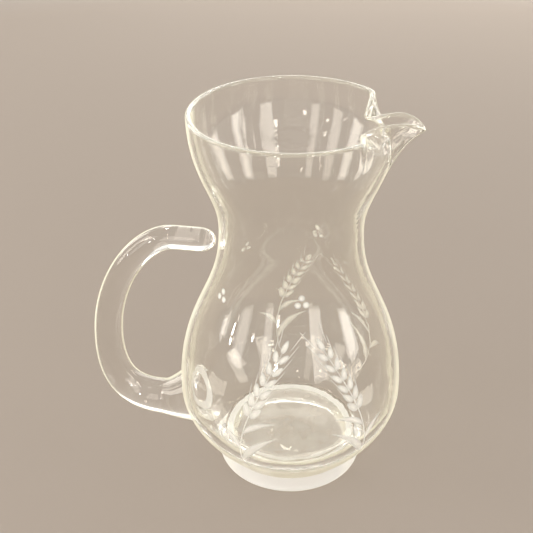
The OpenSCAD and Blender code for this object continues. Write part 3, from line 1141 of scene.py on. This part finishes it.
class PITCHER_OT_ears(bpy.types.Operator):
    """Cut the ears of wheat and the groups of dots"""

    bl_idname = "pitcher.ears"
    bl_label = "Wheat ears"

    def execute(self, context):
        cutter = Cutter(context.scene)
        cuts = cutter.cuts
        wide, long = cuts.grain_width, cuts.grain_length
        for spray in cutter.sprays():
            for i, (foot, lean) in enumerate(ear_places(cuts)):
                size = 1.0 - GRAIN_SHRINK * i
                for hand in (-1, 1):
                    tilt = lean + hand * GRAIN_LEAN
                    middle = foot + heading(tilt) * (long * GRAIN_SET[1] * size)
                    middle += heading(lean + math.pi / 2) * (hand * wide * GRAIN_SET[0])
                    cutter.oval(spray, middle, tilt, (wide * size, long * size), GRAIN_TAPER)
            tip, lean = stem_at(1)
            middle = tip + heading(lean) * (long * TIP_SET)
            cutter.oval(spray, middle, lean, (wide * TIP_SIZE[0], long * TIP_SIZE[1]), TIP_TAPER)
        for degrees, height in DOT_GROUPS:
            group = (math.radians(degrees), cutter.skin.climb(height), 1)
            for turn in (0, 120, 240):
                middle = heading(math.radians(turn)) * (cuts.dot_width * DOT_SET)
                cutter.oval(group, middle, 0, (cuts.dot_width, cuts.dot_width))
        cutter.finish("wheat_ears", frosted_cut(context.scene.pitcher_finish))
        return {"FINISHED"}


class PITCHER_OT_stems(bpy.types.Operator):
    """Cut the stems, blades and bristles of the wheat"""

    bl_idname = "pitcher.stems"
    bl_label = "Wheat stems"

    def execute(self, context):
        cutter = Cutter(context.scene)
        cuts = cutter.cuts

        def pointed(t):
            return max(BLADE_END, math.sin(math.pi * t**BLADE_POWER))

        def tapered(t):
            return 1.0 - STEM_TAPER * t

        for spray in cutter.sprays():
            cutter.ribbon(spray, STEM_LINE, cuts.stem_width, STEM_ROWS, tapered)
            for t, hand, reach, width in BLADES:
                foot, lean = stem_at(t)
                tilt = lean + hand * BLADE_LEAN
                tip = foot + heading(tilt + hand * BLADE_BOW) * reach
                knee = foot + heading(tilt) * (reach * BLADE_KNEE)
                bow = (foot, foot.lerp(knee, BLADE_PULLS[0]), knee.lerp(tip, BLADE_PULLS[1]), tip)
                cutter.ribbon(spray, bow, width, BLADE_ROWS, pointed)
            for foot, lean in ear_places(cuts):
                for hand in (-1, 1):
                    root = foot + heading(lean + hand * AWN_ROOT) * cuts.grain_length
                    tip = root + heading(lean + hand * AWN_LEAN) * cuts.awn_length
                    cutter.ribbon(spray, line(root, tip), cuts.awn_width, AWN_ROWS, tapered)
        cutter.finish("wheat_stems", frosted_cut(context.scene.pitcher_finish))
        return {"FINISHED"}


# Soft lamps: name, place, width and height, and how bright each one's face is
LAMPS = (
    ("back_lamp", (0.1, 1.25, 0.45), (1.6, 0.7), 2.8),
    ("back_left_lamp", (-1.1, 0.6, 0.42), (0.4, 0.75), 4.2),
    ("back_right_lamp", (1.1, 0.7, 0.42), (0.4, 0.75), 4.2),
    ("left_lamp", (-1.23, -0.22, 0.48), (0.3, 0.85), 5.0),
    ("right_lamp", (1.23, -0.22, 0.48), (0.3, 0.85), 5.6),
    ("front_lamp_1", (-0.97, -0.79, 0.48), (0.3, 0.85), 2.6),
    ("front_lamp_2", (-0.41, -1.18, 0.48), (0.22, 0.85), 2.8),
    ("front_lamp_3", (0.80, -0.96, 0.48), (0.34, 0.85), 3.6),
)
# Small lamps that make the sparkles: place, width and height, and how bright each one's face is
SPOTS = (
    ((0.606, -1.093, 0.42), (0.10, 0.09), 44.0),
    ((0.606, -1.093, 0.56), (0.10, 0.09), 44.0),
    ((0.3, -0.6, 1.1), (0.07, 0.07), 60.0),
    ((-0.1, -0.35, 1.25), (0.07, 0.07), 60.0),
    ((-0.5, 0.4, 1.1), (0.07, 0.07), 60.0),
    ((-0.145, 1.03, 0.99), (0.075, 0.02), 60.0),
    ((0.62, -0.85, 0.9), (0.04, 0.04), 120.0),
    ((-0.75, -0.6, 1.0), (0.04, 0.04), 120.0),
    ((0.9, 0.2, 1.0), (0.04, 0.04), 120.0),
    ((-1.04, -0.46, 0.71), (0.28, 0.24), 14.0),
    ((-0.761, -0.992, 0.31), (0.07, 0.05), 60.0),
    ((-0.761, -0.992, 0.50), (0.07, 0.05), 60.0),
    ((-0.152, -1.24, 0.25), (0.07, 0.07), 60.0),
    ((-1.10, -0.587, 0.17), (0.035, 0.03), 110.0),
)
# Where the lamps are aimed
LAMP_AIM = Vector((0, 0, 0.09))

# The floor: half its width, its squares along each side, how far it lies below the foot, and the distances
# between which it fades away
FLOOR_HALF = 2
FLOOR_SQUARES = 8
FLOOR_DROP = 0.0002
FLOOR_FADE = (0.9, 1.9)

# The camera: its lens and film in millimetres, the nearest that it sees, what it circles and how far away it
# stays, its way round and how far it looks down in degrees, and how far it is then turned sideways, upwards
# and over
CAMERA_LENS = 60.79
CAMERA_FILM = 36
CAMERA_NEAREST = 0.01
CAMERA_AIM = Vector((0, 0, 0.095))
CAMERA_DISTANCE = 0.4385
CAMERA_ROUND = 8
CAMERA_DOWN = 33.07
CAMERA_TURNS = (("Y", 0.027), ("X", 0.0313), ("Z", math.radians(0.53)))

# How often light may bounce in the glass, and pass through clear faces
GLASS_BOUNCES = 96
CLEAR_BOUNCES = 48


def camera_place():
    """The photograph's viewpoint: in front of the pitcher, looking down on it with the lip to the right."""
    place = Matrix.Rotation(math.radians(CAMERA_ROUND), 4, "Z") @ Matrix.Translation(CAMERA_AIM)
    place @= Matrix.Rotation(math.radians(90 - CAMERA_DOWN), 4, "X")
    place @= Matrix.Translation((0, 0, CAMERA_DISTANCE))
    for axis, turn in CAMERA_TURNS:
        place @= Matrix.Rotation(turn, 4, axis)
    return place


class PITCHER_OT_stage(bpy.types.Operator):
    """Set the floor, the soft lamps and the camera"""

    bl_idname = "pitcher.stage"
    bl_label = "Studio"

    def execute(self, context):
        scene = context.scene
        stage = scene.pitcher_stage
        paper = bmesh.new()
        squares = {"x_segments": FLOOR_SQUARES, "y_segments": FLOOR_SQUARES}
        bmesh.ops.create_grid(paper, **squares, size=FLOOR_HALF)
        bmesh.ops.translate(paper, verts=paper.verts, vec=(0, 0, -FLOOR_DROP))
        floor = stand_form("floor", paper, [floor_finish(stage)])

        scene.world = bpy.data.worlds.get("studio") or bpy.data.worlds.new("studio")
        sky = Finish(scene.world)
        _, back, rise = sky.axes(sky.coordinates("Generated"))
        lift = back * 0.5 + 0.5
        lift = (lift * lift) | (rise | 0.0)
        shown = lift * (stage.sky_far - stage.sky_near) + stage.sky_near
        seen = sky.ray("Camera") | sky.ray("Glossy") | sky.ray("Transmission")
        strength = seen * (shown - stage.sky_level) + stage.sky_level
        light = {"Color": opaque(stage.sky_colour), "Strength": strength}
        sky.node("OutputWorld", None, {"Surface": sky.wire("Background", None, light)})

        spots = [(f"spot_lamp_{i}", *spot) for i, spot in enumerate(SPOTS, 1)]
        for name, place, size, level in (*LAMPS, *spots):
            lamp = bpy.data.lights.new(name, "AREA")
            lamp.shape = "RECTANGLE"
            lamp.size, lamp.size_y = size
            lamp.energy = level * stage.lamp_level * math.pi * size[0] * size[1]
            lamp.color = stage.lamp_colour
            aim = (LAMP_AIM - Vector(place)).to_track_quat("-Z", "Y")
            stand(name, lamp).matrix_world = Matrix.Translation(place) @ aim.to_matrix().to_4x4()

        camera = bpy.data.cameras.new("camera")
        camera.lens = CAMERA_LENS
        camera.sensor_width = CAMERA_FILM
        camera.clip_start = CAMERA_NEAREST
        scene.camera = stand("camera", camera)
        scene.camera.matrix_world = camera_place()
        scene.view_settings.view_transform = "Standard"
        scene.cycles.max_bounces = GLASS_BOUNCES
        scene.cycles.transmission_bounces = GLASS_BOUNCES
        scene.cycles.glossy_bounces = GLASS_BOUNCES
        scene.cycles.transparent_max_bounces = CLEAR_BOUNCES
        return {"FINISHED"}


class VIEW3D_PT_pitcher(bpy.types.Panel):
    """Steps that make the pitcher"""

    bl_label = "Pitcher"
    bl_space_type = "VIEW_3D"
    bl_region_type = "UI"
    bl_category = "Pitcher"

    def draw(self, context):
        for step in STEPS:
            self.layout.operator(step.bl_idname)


STEPS = (
    PITCHER_OT_bowl,
    PITCHER_OT_foot,
    PITCHER_OT_handle,
    PITCHER_OT_ears,
    PITCHER_OT_stems,
    PITCHER_OT_stage,
)
GROUPS = {
    "pitcher_bowl": BowlSizes,
    "pitcher_lip": LipSizes,
    "pitcher_foot": FootSizes,
    "pitcher_handle": HandleSizes,
    "pitcher_cuts": CutSizes,
    "pitcher_finish": FinishChoices,
    "pitcher_stage": StageChoices,
}


def register():
    for name, group in GROUPS.items():
        bpy.utils.register_class(group)
        setattr(bpy.types.Scene, name, PointerProperty(type=group))
    for step in STEPS:
        bpy.utils.register_class(step)
    bpy.utils.register_class(VIEW3D_PT_pitcher)


def unregister():
    bpy.utils.unregister_class(VIEW3D_PT_pitcher)
    for step in reversed(STEPS):
        bpy.utils.unregister_class(step)
    for name, group in reversed(GROUPS.items()):
        delattr(bpy.types.Scene, name)
        bpy.utils.unregister_class(group)


def main():
    register()
    bpy.ops.pitcher.bowl()
    bpy.ops.pitcher.foot()
    bpy.ops.pitcher.handle()
    bpy.ops.pitcher.ears()
    bpy.ops.pitcher.stems()
    bpy.ops.pitcher.stage()


if __name__ == "__main__":
    main()
